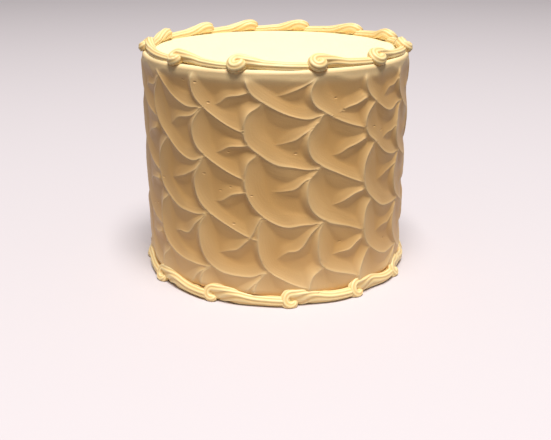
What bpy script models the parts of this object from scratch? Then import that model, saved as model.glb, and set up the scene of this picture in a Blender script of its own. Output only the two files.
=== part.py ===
"""A round vanilla cake in buttercream: spatula petals round its side, piped scrolls round its top and foot.

The frame is the cake's own: metres, +Z up, the origin at the middle of its flat foot. Azimuth 0 is the front
(-Y) and grows towards +X, so it runs anticlockwise seen from above.
"""

import math
from dataclasses import dataclass

import bpy
import numpy as np

# Driving dimensions
LIP_RADIUS = 0.0824  # the side out to the crest of a petal's lip
RELIEF = 0.0042  # from a petal's deepest scoop out to its lip
CAKE_HEIGHT = 0.1374  # the foot to the flat top
SHOULDER = 0.0038  # radius of the rounded top edge
FOOT_RADIUS = 0.0784  # the side is pressed in here by the border at its foot
GAP = 0.0004  # kept between pieces that touch on the real cake

# The petals: one column of scoops for each pull of the spatula round the side
COLUMNS = 15
FIRST_COLUMN = -3
COLUMN_PHASE = math.radians(-10.5)  # left edge of column 0, the one in front
ROW_PITCH = 0.0300  # usual height of a petal
ROWS = 5
LEAST_STEP = 0.0050  # a lip falls back to the next scoop over at least this width
SIDE_SCOOP = 0.0190  # reach of the slope inside a petal's left lip
LOW_SCOOP = 0.0260  # reach of the slope above a petal's lower lip
SCOOP_CURVE = 1.7  # how hollow the slope is
FALL_CURVE = 1.7  # and the fall outside a lip
CREASE_SHARE = 0.80  # the crease's height as a share of the lip's
CREASE_RISE = 0.0165  # the crease ends at least this far below its petal's junction
SEED = 7

# Heights of the junctions where two petals of a column meet, for the columns seen in front, by column number
JUNCTION_HEIGHTS = {
    -3: (0.1418, 0.1142, 0.0836, 0.0500, 0.0187),
    -2: (0.1550, 0.1275, 0.0936, 0.0595, 0.0255),
    -1: (0.1425, 0.1142, 0.0844, 0.0500, 0.0192),
    0: (0.1470, 0.1193, 0.0910, 0.0528, 0.0206),
    1: (0.1360, 0.1124, 0.0819, 0.0523, 0.0220),
    2: (0.1420, 0.1161, 0.0925, 0.0594, 0.0275),
    3: (0.1400, 0.1120, 0.0815, 0.0515, 0.0200),
}
# Where a junction lies across its column, in column widths, for the same columns
JUNCTION_SHIFTS = {
    -2: (0.20, 0.18, 0.38, 0.32),
    -1: (0.12, 0.21, 0.16, 0.24),
    0: (0.10, 0.17, 0.08, 0.30),
    1: (0.22, 0.24, 0.17, 0.36),
    2: (0.20, 0.24, 0.26, 0.22),
}
# A petal's lip, in column widths to the right of its junction and row pitches down from it
LIP_SHAPE = ((0.00, 0.00), (-0.16, 0.26), (-0.20, 0.60), (0.00, 0.89), (0.36, 1.10), (0.84, 1.28))
# Its crease, in column widths from the column's left edge and metres down from its junction
CREASE_SHAPE = ((0.34, 0.0225), (0.58, 0.0220), (0.82, 0.0200))
CURVE_POINTS = 21

# The piped borders
SCROLLS = 12
# Azimuths of the top scrolls' heads, in degrees
TOP_HEADS = (-83.5, -43.8, -14.8, 17.0, 46.2, 81.8, 110.0, 136.5, 167.0, 193.2, 217.8, 247.2)
TOP_BORDER_RADIUS = 0.0748
FOOT_PHASE = 3.5  # azimuth of the head in front, in degrees
RELIEF_START = 0.012  # height over the foot where the petals begin
RELIEF_RISE = 0.008  # and the height over which they grow to their full depth
START_TURN = -0.15 * math.pi  # where round its hook a scroll's strand starts
FOOT_BORDER_RADIUS = 0.0796
TIP_RIDGES = 5  # ridges that the star nozzle leaves along a strand
GROOVE_SHARE = 0.84  # a groove's distance from the strand's middle, as a share of a ridge's

# How finely the solids are cut
SIDE_CELLS = 108
SIDE_ROWS = 31
HOOK_STATIONS = 5
TAIL_STATIONS = 6

BUTTERCREAM = (0.90, 0.76, 0.50)
PIPED_CREAM = (0.94, 0.82, 0.57)


@dataclass(frozen=True)
class Scroll:
    """Sizes of one piped scroll: a hooked head and the tail that runs on from it along the rim."""

    hook: float  # radius of the hook that the strand's middle makes
    start_share: float  # where the strand starts, as a share of that radius
    start_width: float  # and its width there, as a share of the head's
    tilt: float  # slope of the hook's plane, from flat, in radians
    head_lift: float  # height of the hook's middle over what the scroll lies on
    head_out: float  # the hook's middle outward of the border's radius
    head_radius: float  # half the strand's width in the head
    tail_radius: float  # and in the tail
    end_radius: float  # and at the tail's end
    tail_lift: float  # height of the tail's middle
    end_lift: float  # and at the tail's end
    tail_out: float  # the tail's end outward of the border's radius
    drop_length: float  # the tail takes this long to come down from the head


TOP_SCROLL = Scroll(
    hook=0.0034, start_share=0.90, start_width=0.80, tilt=math.radians(45), head_lift=0.0031,
    head_out=0.0028, head_radius=0.0031, tail_radius=0.0031, end_radius=0.0027, tail_lift=0.0017,
    end_lift=0.0008, tail_out=0.0020, drop_length=0.018,
)
FOOT_SCROLL = Scroll(
    hook=0.0055, start_share=0.62, start_width=0.90, tilt=math.radians(66), head_lift=0.0052,
    head_out=0.0018, head_radius=0.0037, tail_radius=0.0040, end_radius=0.0038, tail_lift=0.0038,
    end_lift=0.0036, tail_out=0.0002, drop_length=0.022,
)


def smooth(t):
    """A step from 0 to 1 with level ends."""
    t = np.clip(t, 0.0, 1.0)
    return t * t * (3.0 - 2.0 * t)


def spline(points, count):
    """Evenly numbered points of the smooth curve through the given ones (Catmull-Rom)."""
    knots = np.asarray(points, float)
    knots = np.vstack((2 * knots[0] - knots[1], knots, 2 * knots[-1] - knots[-2]))
    t = np.linspace(0, len(points) - 1, count)
    i = np.minimum(t.astype(int), len(points) - 2)
    f = (t - i)[:, None]
    a, b, c, d = knots[i], knots[i + 1], knots[i + 2], knots[i + 3]
    return 0.5 * (2 * b + (c - a) * f + (2 * a - 5 * b + 4 * c - d) * f**2 + (3 * b - a - 3 * c + d) * f**3)


def column_junctions():
    """The junctions of every column as lists of (column widths from column 0's left edge, height)."""
    rng = np.random.default_rng(SEED)
    columns = []
    for number in range(FIRST_COLUMN, FIRST_COLUMN + COLUMNS):
        if number in JUNCTION_HEIGHTS:
            heights = list(JUNCTION_HEIGHTS[number])
        else:
            start = CAKE_HEIGHT + 0.004 + 0.010 * ((number % 2) + rng.uniform(-0.2, 0.2))
            heights = [start - ROW_PITCH * (row + rng.uniform(-0.08, 0.08)) for row in range(ROWS)]
        shifts = JUNCTION_SHIFTS.get(number, tuple(rng.uniform(0.08, 0.24, ROWS - 1)))
        across = [number + shift for shift in (*shifts, shifts[-1])]
        columns.append(list(zip(across, heights)))
    return columns


def crease_end(edge, height, junctions):
    """Last points of a crease: up to the next column's junction where that is near, or else to its lip."""
    for across, level in junctions:
        if height - CREASE_RISE < level < height + 0.05 * ROW_PITCH:
            return [(edge + 1.02, (level + height - 0.0200) / 2), (across - 0.03, level)]
    return [(edge + 1.02, height - CREASE_RISE)]


def petal_ridges():
    """Every lip and crease: points in metres along and up the side, crests, reaches and step widths."""
    width = 2 * math.pi / COLUMNS * LIP_RADIUS
    columns = column_junctions()
    along = np.linspace(0, 1, CURVE_POINTS)
    bottom = smooth((along - 0.5) / 0.3)
    lip_crest = (0.25 + 0.75 * smooth(along / 0.3)) * (1 - 0.55 * bottom) * (1 - smooth((along - 0.8) / 0.2))
    lip_reach = SIDE_SCOOP + (LOW_SCOOP - SIDE_SCOOP) * smooth((along - 0.35) / 0.4)
    lip_step = LEAST_STEP + 0.0050 * bottom
    crease_crest = CREASE_SHARE * smooth(along / 0.4) * (1 - 0.6 * smooth((along - 0.75) / 0.25))
    crease_reach = np.full(CURVE_POINTS, LOW_SCOOP)
    crease_step = np.full(CURVE_POINTS, LEAST_STEP)
    ridges = []
    for number, column in enumerate(columns):
        edge = number + FIRST_COLUMN
        wrap = COLUMNS if number == COLUMNS - 1 else 0
        beside = [(across + wrap, height) for across, height in columns[(number + 1) % COLUMNS]]
        for row, (across, height) in enumerate(column):
            pitch = height - column[row + 1][1] if row + 1 < ROWS else ROW_PITCH
            lip = spline([(across + u, height - w * pitch) for u, w in LIP_SHAPE], CURVE_POINTS)
            ridges.append((lip * (width, 1), lip_crest, lip_reach, lip_step))
            points = [(edge + u, height - down) for u, down in CREASE_SHAPE]
            crease = spline(points + crease_end(edge, height, beside), CURVE_POINTS)
            ridges.append((crease * (width, 1), crease_crest, crease_reach, crease_step))
    return ridges


def ridge_height(points, crest, reach, steps, along, up):
    """Height one ridge gives each place on the side, as a share of the full relief.

    It is full on the ridge's line, falls along a hollow slope inside it and down a short step outside it.
    Away from the line the distance is softened: it is worked out from how all of the line lies round the
    place, so that the slope has no fold where two stretches of the line are equally near.
    """
    start, run = points[:-1], np.diff(points, axis=0)
    away = np.stack((along, up), -1)[:, None, :] - start
    share = np.clip((away * run).sum(-1) / (run**2).sum(1), 0, 1)
    offset = away - share[..., None] * run
    apart2 = (offset**2).sum(-1)
    near = apart2.argmin(1)
    rows = np.arange(len(near))
    apart = np.sqrt(apart2[rows, near])
    side = run[near, 0] * offset[rows, near, 1] - run[near, 1] * offset[rows, near, 0]
    length = np.sqrt((run**2).sum(1))
    weight = length / (apart2 + (0.25 * length) ** 2) ** 2
    total = weight.sum(1)
    softened = (math.pi / 2 / total) ** (1 / 3)
    distance = apart + smooth((apart - 0.001) / 0.003) * (softened - apart)
    peak, slope, step = ((weight * (v[:-1] + v[1:]) / 2).sum(1) / total for v in (crest, reach, steps))
    inside = np.clip(1 - distance / slope, 0, 1) ** SCOOP_CURVE
    outside = np.clip(1 - apart / step, 0, 1) ** FALL_CURVE
    return peak * np.where(side >= 0, inside, outside)


def relief(azimuth, height):
    """How far the side stands out from its deepest scoop, in metres, at each azimuth and height."""
    round_length = 2 * math.pi * LIP_RADIUS
    along = (azimuth - COLUMN_PHASE) * LIP_RADIUS
    level = np.zeros_like(along)
    for points, crest, reach, steps in petal_ridges():
        middle = points[:, 0].mean()
        local = (along - middle + round_length / 2) % round_length + middle - round_length / 2
        low, high = points.min(0) - LOW_SCOOP, points.max(0) + LOW_SCOOP
        near = (local > low[0]) & (local < high[0]) & (height > low[1]) & (height < high[1])
        if near.any():
            found = ridge_height(points, crest, reach, steps, local[near], height[near])
            level[near] = np.maximum(level[near], found)
    return RELIEF * level


def even_relief(azimuth, height):
    """The relief averaged over one cell of the solid's grid, so that its lips don't break up into teeth."""
    spread = (-1 / 3, 0.0, 1 / 3)
    cell_turn, cell_rise = 2 * math.pi / SIDE_CELLS, CAKE_HEIGHT / SIDE_ROWS
    found = [relief(azimuth + a * cell_turn, height + b * cell_rise) for a in spread for b in spread]
    return np.mean(found, axis=0)


def foot_profile(height):
    """Radius of the pressed-in foot at a height, which rises into the scooped side above it."""
    return FOOT_RADIUS + (LIP_RADIUS - RELIEF - FOOT_RADIUS) * smooth((height - 0.005) / 0.008)


def shoulder_height(radius):
    """Height of the cake's top at a radius: flat, and then round over the shoulder."""
    out = np.clip((radius - (LIP_RADIUS - SHOULDER)) / SHOULDER, 0, 1)
    return CAKE_HEIGHT - SHOULDER * (1 - np.sqrt(1 - out**2))


def relief_share(height):
    """How much of the relief the side has at a height: none at the foot, all of it a little higher."""
    return smooth((height - RELIEF_START) / RELIEF_RISE)


def side_radius(azimuth, height):
    """Radius of the side, whose relief fades out into the foot and the shoulder."""
    top = CAKE_HEIGHT - SHOULDER
    core = foot_profile(height)
    scooped = core + relief_share(height) * even_relief(azimuth, height)
    full = smooth((height - (top - 0.004)) / 0.004)
    return scooped + full * (LIP_RADIUS - 0.0006 - scooped)


def material(name, colour, roughness):
    """A plain Principled finish."""
    made = bpy.data.materials.new(name)
    made.use_nodes = True
    shader = made.node_tree.nodes["Principled BSDF"]
    shader.inputs["Base Color"].default_value = (*colour, 1.0)
    shader.inputs["Roughness"].default_value = roughness
    shader.inputs["Metallic"].default_value = 0.0
    return made


def closed_grid(name, rings, finish):
    """A closed body from a stack of rings, its first and last ring capped by a fan round their middle."""
    rows, cells = rings.shape[:2]
    vertices = rings.reshape(-1, 3)
    first, last = rings[0].mean(0), rings[-1].mean(0)
    vertices = np.vstack((vertices, first, last))
    index = np.arange(rows * cells).reshape(rows, cells)
    turned = np.roll(index, -1, axis=1)
    quads = np.stack((index[:-1], turned[:-1], turned[1:], index[1:]), -1).reshape(-1, 4)
    start, end = rows * cells, rows * cells + 1
    faces = quads.tolist()
    faces += [(start, int(b), int(a)) for a, b in zip(index[0], turned[0])]
    faces += [(end, int(a), int(b)) for a, b in zip(index[-1], turned[-1])]
    mesh = bpy.data.meshes.new(name)
    mesh.from_pydata(vertices.tolist(), [], faces)
    mesh.validate()
    mesh.materials.append(finish)
    mesh.shade_smooth()
    piece = bpy.data.objects.new(name, mesh)
    bpy.context.scene.collection.objects.link(piece)
    return piece


def build_body(finish):
    """The solid cake: rings up its side, over the shoulder and in across the flat top."""
    azimuth = np.arange(SIDE_CELLS) * 2 * math.pi / SIDE_CELLS + COLUMN_PHASE
    heights = np.concatenate(([0.0, 0.006], np.linspace(0.0115, CAKE_HEIGHT - SHOULDER, SIDE_ROWS)))
    rings = []
    for height in heights:
        level = np.full(SIDE_CELLS, height)
        radius = side_radius(azimuth, level)
        rings.append(np.stack((radius * np.sin(azimuth), -radius * np.cos(azimuth), level), -1))
    for bend in (30, 60, 90):
        radius = LIP_RADIUS - 0.0006 - SHOULDER * (1 - math.cos(math.radians(bend)))
        height = CAKE_HEIGHT - SHOULDER * (1 - math.sin(math.radians(bend)))
        level = np.full(SIDE_CELLS, height)
        rings.append(np.stack((radius * np.sin(azimuth), -radius * np.cos(azimuth), level), -1))
    return closed_grid("cake_body", np.array(rings), finish)


def scroll_path(shape, length):
    """Stations of a scroll's middle, hook first, as (along the rim, outward, up, strand radius)."""
    turn = np.linspace(START_TURN, math.pi, HOOK_STATIONS, endpoint=False)
    opened = smooth((turn - START_TURN) / (math.pi / 2))
    wide = shape.hook * (shape.start_share + (1 - shape.start_share) * opened)
    along = -wide * np.sin(turn)
    out = shape.head_out + wide * np.cos(turn) * math.cos(shape.tilt)
    up = shape.head_lift - wide * np.cos(turn) * math.sin(shape.tilt)
    radius = shape.head_radius * (shape.start_width + (1 - shape.start_width) * opened)
    hook = np.stack((along, out, up, radius), -1)
    run = np.linspace(0.0, length, TAIL_STATIONS)
    down = smooth(run / shape.drop_length)
    sinking = smooth((run / length - 0.3) / 0.7)
    high_out = shape.head_out - shape.hook * math.cos(shape.tilt)
    high_up = shape.head_lift + shape.hook * math.sin(shape.tilt)
    radius = shape.head_radius + (shape.tail_radius - shape.head_radius) * down
    radius += (shape.end_radius - shape.tail_radius) * smooth(run / length)
    tail = np.stack(
        (
            run,
            high_out + (shape.tail_out - high_out) * down,
            high_up + (shape.tail_lift - high_up) * down + (shape.end_lift - shape.tail_lift) * sinking,
            radius,
        ),
        -1,
    )
    return np.vstack((hook, tail))


def strand_rings(path, radii):
    """Star-shaped rings round a path, carried along it without twisting."""
    tangent = np.gradient(path, axis=0)
    tangent /= np.linalg.norm(tangent, axis=1, keepdims=True)
    across = np.cross((0.0, 0.0, 1.0), tangent[-1])
    frames = [across / np.linalg.norm(across)]
    for direction in tangent[-2::-1]:
        across = frames[-1] - direction * (frames[-1] @ direction)
        frames.append(across / np.linalg.norm(across))
    across = np.array(frames[::-1])
    over = np.cross(tangent, across)
    points = 2 * TIP_RIDGES
    angle = np.arange(points) * 2 * math.pi / points + math.pi / 2
    star = np.where(np.arange(points) % 2 == 0, 1.0, GROOVE_SHARE)
    sideways = (np.cos(angle) * star)[None, :, None] * across[:, None]
    upwards = (np.sin(angle) * star)[None, :, None] * over[:, None]
    return path[:, None] + radii[:, None, None] * (sideways + upwards)


def build_scroll(name, shape, head, length, border_radius, settle, finish):
    """One piped scroll whose head is at an azimuth, with every point settled clear of what it lies on."""
    stations = scroll_path(shape, length)
    azimuth = head + stations[:, 0] / border_radius
    radius = border_radius + stations[:, 1]
    path = np.stack((radius * np.sin(azimuth), -radius * np.cos(azimuth), stations[:, 2]), -1)
    return closed_grid(name, settle(strand_rings(path, stations[:, 3])), finish)


def settle_on_top(rings):
    """Rings of a top scroll, lifted to the cake's top and over its shoulder."""
    radius = np.hypot(rings[..., 0], rings[..., 1])
    floor = shoulder_height(radius) + GAP
    lifted = rings.copy()
    lifted[..., 2] = np.maximum(rings[..., 2] + CAKE_HEIGHT + GAP, floor)
    return lifted


def settle_at_foot(rings):
    """Rings of a foot scroll, flat where it lies, pressed to the cake's side and clear of its petals."""
    settled = rings.copy()
    settled[..., 2] = np.maximum(rings[..., 2], 0.0)
    radius = np.hypot(rings[..., 0], rings[..., 1])
    least = foot_profile(settled[..., 2]) + RELIEF * relief_share(settled[..., 2]) + GAP
    settled[..., :2] *= (np.maximum(radius, least) / radius)[..., None]
    return settled


def build_borders(finish):
    """Both rings of scrolls: each tail ends just short of the next head."""
    heads = np.radians(TOP_HEADS)
    spans = np.diff(np.append(heads, heads[0] + 2 * math.pi))
    head_room = TOP_SCROLL.hook + TOP_SCROLL.head_radius + 2 * GAP
    for number, (head, span) in enumerate(zip(heads, spans)):
        length = span * TOP_BORDER_RADIUS - head_room
        name = f"top_scroll_{number + 1:02d}"
        build_scroll(name, TOP_SCROLL, head, length, TOP_BORDER_RADIUS, settle_on_top, finish)
    span = 2 * math.pi / SCROLLS
    head_room = FOOT_SCROLL.hook + FOOT_SCROLL.head_radius + 2 * GAP
    for number in range(SCROLLS):
        head = math.radians(FOOT_PHASE) + number * span
        length = span * FOOT_BORDER_RADIUS - head_room
        name = f"foot_scroll_{number + 1:02d}"
        build_scroll(name, FOOT_SCROLL, head, length, FOOT_BORDER_RADIUS, settle_at_foot, finish)


def main():
    """Clear the scene and build the cake and its two borders."""
    for old in list(bpy.data.objects):
        bpy.data.objects.remove(old, do_unlink=True)
    build_body(material("spread_buttercream", BUTTERCREAM, 0.45))
    build_borders(material("piped_buttercream", PIPED_CREAM, 0.42))


main()
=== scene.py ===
"""Looks of a tall round vanilla cake: buttercream in spatula petals, and scrolls piped at top and foot.

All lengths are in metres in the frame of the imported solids: +Z up, the cake's front towards -Y. Azimuth 0 is
the front and grows towards +X.
"""

import logging
import math
from dataclasses import dataclass, field, replace
from enum import Enum

import bpy
import numpy as np
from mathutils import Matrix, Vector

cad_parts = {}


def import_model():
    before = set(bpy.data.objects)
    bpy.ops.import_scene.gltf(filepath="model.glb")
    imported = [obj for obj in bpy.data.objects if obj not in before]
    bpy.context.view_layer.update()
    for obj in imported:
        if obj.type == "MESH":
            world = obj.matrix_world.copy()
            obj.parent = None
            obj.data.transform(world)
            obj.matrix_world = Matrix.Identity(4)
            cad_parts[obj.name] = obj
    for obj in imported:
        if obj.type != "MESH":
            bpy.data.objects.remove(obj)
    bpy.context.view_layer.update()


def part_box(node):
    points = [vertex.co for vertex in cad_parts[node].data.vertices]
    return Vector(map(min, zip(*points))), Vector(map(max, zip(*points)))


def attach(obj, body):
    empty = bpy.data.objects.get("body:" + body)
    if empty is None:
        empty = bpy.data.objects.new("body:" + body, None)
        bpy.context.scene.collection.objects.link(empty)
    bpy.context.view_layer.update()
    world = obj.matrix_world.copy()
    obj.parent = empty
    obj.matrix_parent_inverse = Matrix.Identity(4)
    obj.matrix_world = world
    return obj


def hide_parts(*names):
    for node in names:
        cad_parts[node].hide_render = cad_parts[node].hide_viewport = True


log = logging.getLogger("vanilla_cake")

Points = list[tuple[float, float]]
Socket = bpy.types.NodeSocket


def linear(hex_colour: str) -> tuple[float, float, float, float]:
    """Turns an sRGB hex colour linear.

    Args:
        hex_colour: six hex digits, with or without a leading hash.

    Returns:
        Red, green, blue and an alpha of 1. A channel c becomes c/12.92 up to 0.04045, and above that
        ((c + 0.055)/1.055)^2.4.
    """
    digits = hex_colour.lstrip("#")
    srgb = [int(digits[k:k + 2], 16) / 255 for k in (0, 2, 4)]
    red, green, blue = (c / 12.92 if c <= 0.04045 else ((c + 0.055) / 1.055) ** 2.4 for c in srgb)
    return red, green, blue, 1.0


def smooth(share: np.ndarray) -> np.ndarray:
    """A step from 0 to 1 with level ends: t*t*(3 - 2t), with t held between 0 and 1."""
    t = np.clip(share, 0.0, 1.0)
    return t * t * (3.0 - 2.0 * t)


def spline(points: Points, count: int) -> np.ndarray:
    """Carries a smooth curve through a few points.

    Args:
        points: the points, in order.
        count: how many points the curve gets.

    Returns:
        A (count, 2) array. Between two points it is the Catmull-Rom cubic of them and their neighbours.
    """
    knots = np.asarray(points, float)
    knots = np.vstack((2 * knots[0] - knots[1], knots, 2 * knots[-1] - knots[-2]))
    t = np.linspace(0, len(points) - 1, count)
    i = np.minimum(t.astype(int), len(points) - 2)
    f = (t - i)[:, None]
    a, b, c, d = knots[i], knots[i + 1], knots[i + 2], knots[i + 3]
    return 0.5 * (2 * b + (c - a) * f + (2 * a - 5 * b + 4 * c - d) * f**2 + (3 * b - a - 3 * c + d) * f**3)


def around(radius: np.ndarray, azimuth: np.ndarray, height: np.ndarray) -> np.ndarray:
    """Points at a radius, azimuth and height: (r sin a, -r cos a, z)."""
    radius, azimuth, height = np.broadcast_arrays(radius, azimuth, height)
    return np.stack((radius * np.sin(azimuth), -radius * np.cos(azimuth), height), -1)


def ripple(azimuth: np.ndarray, seed: int, low: int, high: int) -> np.ndarray:
    """Uneven handwork round the cake.

    Args:
        azimuth: where it is wanted, in radians.
        seed: picks the random phases.
        low: fewest waves round the cake.
        high: most waves round the cake.

    Returns:
        A sum of cosines of low to high waves a turn, each with a random phase, of about unit size.
    """
    waves = np.arange(low, high + 1)
    phases = np.random.default_rng(seed).uniform(0, 2 * math.pi, len(waves))
    turns = np.asarray(azimuth)[..., None] * waves + phases
    return np.cos(turns).sum(-1) / math.sqrt(len(waves) / 2)


def stretched(places: np.ndarray, middle: np.ndarray, limit: np.ndarray) -> np.ndarray:
    """Stretches each ring's lower half until it reaches a limit.

    Args:
        places: (rings, points) places along one direction.
        middle: each ring's middle.
        limit: where each ring's lowest point should be.

    Returns:
        The places, where those below the middle are moved away from it by one factor, which is never under 1.
    """
    lowest = places.min(1)
    factor = np.maximum((middle - limit) / np.maximum(middle - lowest, 1e-6), 1.0)[:, None]
    middle = middle[:, None]
    return np.where(places < middle, middle - (middle - places) * factor, places)


def closed_mesh(name: str, rings: np.ndarray) -> bpy.types.Mesh:
    """Makes a closed body from a stack of closed rings.

    Args:
        name: the mesh's name.
        rings: (rows, cells, 3) points, each row once round, counter to the clock seen from the last row.

    Returns:
        A smooth mesh: quads between neighbouring rows, and a fan to the middle of the first and last row.
    """
    rows, cells = rings.shape[:2]
    grid = np.arange(rows * cells).reshape(rows, cells)
    turned = np.roll(grid, -1, axis=1)
    quads = np.stack((grid[:-1], turned[:-1], turned[1:], grid[1:]), -1).reshape(-1)
    first, last = rows * cells, rows * cells + 1
    opening = np.stack((np.full(cells, first), turned[0], grid[0]), -1).reshape(-1)
    closing = np.stack((np.full(cells, last), grid[-1], turned[-1]), -1).reshape(-1)
    points = np.vstack((rings.reshape(-1, 3), rings[0].mean(0), rings[-1].mean(0)))
    corners = np.concatenate((quads, opening, closing)).astype(np.int32)
    sizes = np.concatenate((np.full(len(quads) // 4, 4), np.full(2 * cells, 3))).astype(np.int32)
    mesh = bpy.data.meshes.new(name)
    mesh.vertices.add(len(points))
    mesh.vertices.foreach_set("co", points.astype(np.float32).reshape(-1))
    mesh.loops.add(len(corners))
    mesh.loops.foreach_set("vertex_index", corners)
    mesh.polygons.add(len(sizes))
    mesh.polygons.foreach_set("loop_start", (np.cumsum(sizes) - sizes).astype(np.int32))
    mesh.polygons.foreach_set("use_smooth", np.ones(len(sizes), bool))
    mesh.update(calc_edges=True)
    mesh.validate()
    return mesh


def mark(mesh: bpy.types.Mesh, name: str, values: np.ndarray) -> None:
    """Stores a number, or a vector of three, on each point of a mesh for its finish to read.

    Args:
        mesh: the mesh, whose last two points are its poles.
        name: the attribute's name.
        values: a (rows, cells) or (rows, cells, 3) array. Each pole takes the mean of its own row.
    """
    wide = values.reshape(*values.shape[:2], -1)
    flat = np.vstack((wide.reshape(-1, wide.shape[-1]), wide[0].mean(0), wide[-1].mean(0)))
    kind, key = ("FLOAT", "value") if wide.shape[-1] == 1 else ("FLOAT_VECTOR", "vector")
    stored = mesh.attributes.new(name, kind, "POINT")
    stored.data.foreach_set(key, flat.astype(np.float32).reshape(-1))


def place(mesh: bpy.types.Mesh, finish: bpy.types.Material, slot: str, *nodes: str) -> bpy.types.Object:
    """Puts a finished piece into the scene in place of its plain solids.

    Args:
        mesh: the piece's mesh, already where it belongs.
        finish: its material.
        slot: a material slot's name; not used.
        nodes: the solids that it stands for.

    Returns:
        The new object, which rides on the cake.
    """
    piece = bpy.data.objects.new(mesh.name, mesh)
    mesh.materials.append(finish)
    bpy.context.scene.collection.objects.link(piece)
    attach(piece, "root")
    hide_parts(*nodes)
    log.info("%s: %d faces", piece.name, len(mesh.polygons))
    return piece


def add_node(
    tree: bpy.types.NodeTree, kind: str, settings: dict | None = None, links: dict | None = None
) -> bpy.types.ShaderNode:
    """Adds one node to a material.

    Args:
        tree: the material's node tree.
        kind: the node's type, without its ShaderNode prefix.
        settings: a property's or an input socket's name, or an input's number, to its value.
        links: an input socket's name or number to the output socket that feeds it.

    Returns:
        The node.
    """
    made = tree.nodes.new("ShaderNode" + kind)
    for name, value in (settings or {}).items():
        if isinstance(name, str) and hasattr(made, name):
            setattr(made, name, value)
        else:
            made.inputs[name].default_value = value
    for name, source in (links or {}).items():
        tree.links.new(source, made.inputs[name])
    return made


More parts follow.
